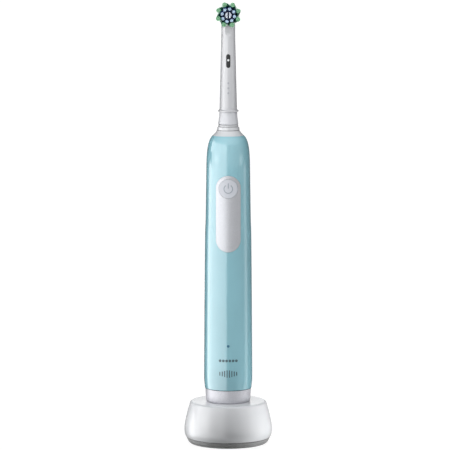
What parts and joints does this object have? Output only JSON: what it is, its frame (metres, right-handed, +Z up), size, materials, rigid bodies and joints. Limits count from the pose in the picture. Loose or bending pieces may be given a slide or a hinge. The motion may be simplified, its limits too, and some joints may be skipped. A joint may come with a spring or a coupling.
{
  "type": "electric toothbrush on charger",
  "caption": "Electric toothbrush with a round oscillating brush head, standing on the peg of a low round inductive charging base.",
  "frame": {"origin": "on the handle's axis, in the plane that the charger's rubber feet rest on, at the bottom centre of the object's box", "axes": "+Z up along the handle, -Y towards the button and the bristles, +X to the right seen from the front"},
  "size_m": [0.0516, 0.0523, 0.2585],
  "materials": {
    "coloured_shell": "gloss",
    "white_gloss": "gloss",
    "soft_white": "satin",
    "silver_plastic": "satin",
    "grey_plastic": "matte",
    "black_rubber": "matte",
    "steel": "satin",
    "bronze": "satin",
    "copper": "satin",
    "ferrite": "matte",
    "board": "satin",
    "black_plastic": "satin",
    "nylon": "satin",
    "cell_sleeve": "satin",
    "clear_plastic": "gloss",
    "green_bristle": "satin",
    "blue_bristle": "satin",
    "white_bristle": "satin"
  },
  "bodies": {
    "charger": {"charger_shell": "white_gloss", "charger_base": "grey_plastic", "rubber_feet": "black_rubber", "charger_board": "board", "charger_board_parts": "black_plastic", "primary_bobbin": "nylon", "primary_coil": "copper", "ferrite_rod": "ferrite", "cord_gland": "black_rubber"},
    "handle": {"handle_shell": "coloured_shell", "neck_cap": "white_gloss", "grip_panel": "soft_white", "bottom_cap": "silver_plastic", "bottom_seal": "black_rubber", "coil_bobbin": "nylon", "secondary_coil": "copper", "coil_leads": "copper", "battery_cell": "cell_sleeve", "battery_contacts": "steel", "chassis": "nylon", "circuit_board": "board", "board_chips": "black_plastic", "switch_body": "black_plastic", "led_chip": "clear_plastic", "light_pipe": "clear_plastic", "motor_can": "steel", "motor_end_cap": "black_plastic", "motor_magnets": "ferrite", "motor_screws": "steel", "motor_leads": "copper", "gear_axle": "steel", "lower_bushing": "bronze", "upper_bushing": "bronze", "shaft_seal": "black_rubber"},
    "power_button": {"power_button": "soft_white", "switch_plunger": "nylon"},
    "motor_rotor": {"motor_armature": "steel", "drive_pinion": "nylon"},
    "crank": {"crank_gear": "nylon", "crank_pin": "steel"},
    "link": {"connecting_link": "nylon"},
    "drive_shaft": {"drive_shaft": "steel", "rocker_arm": "nylon", "rocker_pin": "steel"},
    "brush_head": {"head_tube": "white_gloss", "id_ring": "white_gloss", "wire_guide": "nylon", "disc_axle": "steel"},
    "head_drive": {"drive_socket": "nylon", "crank_wire": "steel"},
    "brush_disc": {"brush_disc": "nylon", "bristles_outer": "green_bristle", "bristles_middle": "blue_bristle", "bristles_centre": "white_bristle"}
  },
  "joints": [
    {"name": "handle_lift", "type": "slide", "parent": "charger", "child": "handle", "axis": [0, 0, 1], "range_m": [0, 0.03]},
    {"name": "head_pull", "type": "slide", "parent": "handle", "child": "brush_head", "axis": [0, 0, 1], "range_m": [0, 0.03]},
    {"name": "button_press", "type": "slide", "parent": "handle", "child": "power_button", "axis": [0, 1, 0], "range_m": [0, 0.0007], "stiffness_N_per_m": 1500},
    {"name": "motor_spin", "type": "hinge", "parent": "handle", "child": "motor_rotor", "pos_m": [0, -0.0006, 0.13], "axis": [0, 0, 1], "continuous": true},
    {"name": "crank_turn", "type": "hinge", "parent": "handle", "child": "crank", "pos_m": [0, 0.005, 0.1405], "axis": [0, 0, 1], "continuous": true},
    {"name": "link_turn", "type": "hinge", "parent": "crank", "child": "link", "pos_m": [0.0012, 0.005, 0.1429], "axis": [0, 0, 1], "continuous": true},
    {"name": "shaft_swing", "type": "hinge", "parent": "handle", "child": "drive_shaft", "pos_m": [0, 0, 0.17], "axis": [0, 0, 1], "range_deg": [-25, 25]},
    {"name": "socket_swing", "type": "hinge", "parent": "brush_head", "child": "head_drive", "pos_m": [0, 0, 0.21], "axis": [0, 0, 1], "range_deg": [-25, 25]},
    {"name": "disc_swing", "type": "hinge", "parent": "brush_head", "child": "brush_disc", "pos_m": [0, 0, 0.252], "axis": [0, 1, 0], "range_deg": [-22.5, 22.5]}
  ],
  "couplings": [
    {"joint": "crank_turn", "follows": "motor_spin", "ratio": -0.33333},
    {"joint": "link_turn", "follows": "motor_spin", "ratio": 0.33333},
    {"joint": "socket_swing", "follows": "shaft_swing", "ratio": 1},
    {"joint": "disc_swing", "follows": "shaft_swing", "ratio": -0.9}
  ]
}
